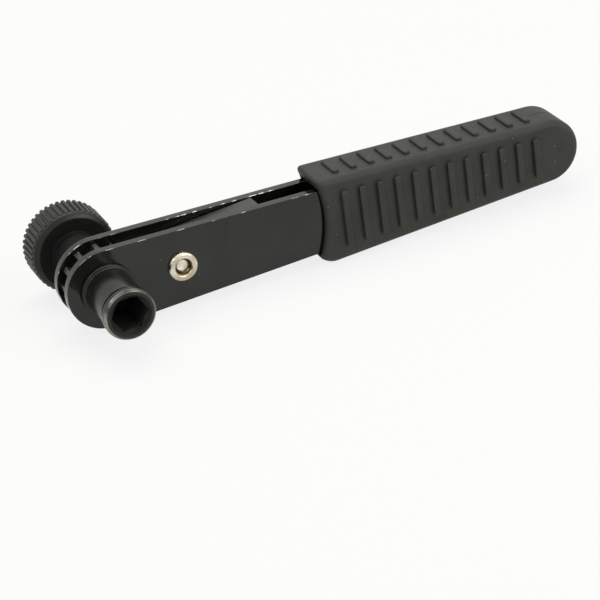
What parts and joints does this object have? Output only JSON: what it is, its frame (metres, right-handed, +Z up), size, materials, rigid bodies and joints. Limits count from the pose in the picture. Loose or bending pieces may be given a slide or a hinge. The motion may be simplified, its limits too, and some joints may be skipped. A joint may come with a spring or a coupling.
{
  "type": "offset ratchet screwdriver",
  "caption": "Low-profile offset ratchet screwdriver with a hex bit socket, reversing lever, thumb knob and ribbed grip.",
  "frame": {"origin": "centre of the socket mouth, on the socket axis", "axes": "+X from the socket axis to the grip, +Y from the mouth to the knob, +Z up, with the tool standing on its narrow edge"},
  "size_m": [0.1105, 0.0382, 0.019],
  "materials": {
    "black_steel": "black oxide, semi gloss",
    "bare_steel": "plain bright",
    "rivet_brass": "pale brass plate",
    "knob_plastic": "matte black",
    "grip_rubber": "matte dark grey"
  },
  "bodies": {
    "frame": {"near_plate": "black_steel", "far_plate": "black_steel", "pivot_rivet": "rivet_brass", "pivot_bush": "bare_steel", "detent_spring": "bare_steel", "spacer_block": "bare_steel", "block_rivets": "bare_steel", "rear_spacer": "bare_steel", "rear_rivet": "bare_steel", "grip": "grip_rubber"},
    "spindle": {"bit_socket": "black_steel", "bit_retaining_ring": "bare_steel", "ratchet_gear": "black_steel", "thrust_washer": "bare_steel", "retaining_clip": "bare_steel", "knob": "knob_plastic"},
    "lever": {"reversing_lever": "black_steel"}
  },
  "joints": [
    {"name": "spindle_turn", "type": "hinge", "parent": "frame", "child": "spindle", "pos_m": [0, 0.0163, 0], "axis": [0, 1, 0], "continuous": true},
    {"name": "lever_flip", "type": "hinge", "parent": "frame", "child": "lever", "pos_m": [0.0154, 0.0163, 0], "axis": [0, 1, 0], "range_deg": [0, 11], "deforming": ["detent_spring"]}
  ]
}
